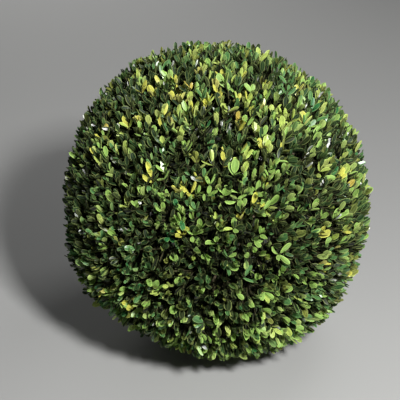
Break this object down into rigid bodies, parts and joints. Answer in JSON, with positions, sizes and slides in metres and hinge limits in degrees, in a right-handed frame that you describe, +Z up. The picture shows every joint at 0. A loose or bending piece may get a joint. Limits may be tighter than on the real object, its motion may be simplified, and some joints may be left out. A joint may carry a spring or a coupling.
{
  "type": "clipped box shrub ball",
  "caption": "Evergreen box shrub clipped to a ball, dense small leaves from the ground up, standing on a short stem hidden inside.",
  "frame": {"origin": "middle of the flat cut under the stem, at ground level", "axes": "+Z up out of the ground, -Y towards the front of the ball, +X to its right seen from the front"},
  "size_m": [0.4477, 0.4481, 0.4611],
  "materials": {
    "foliage": "leathery, satin",
    "bark": "rough, matt"
  },
  "bodies": {
    "root": {"stem": "bark", "clipped_foliage": "foliage"}
  },
  "joints": []
}
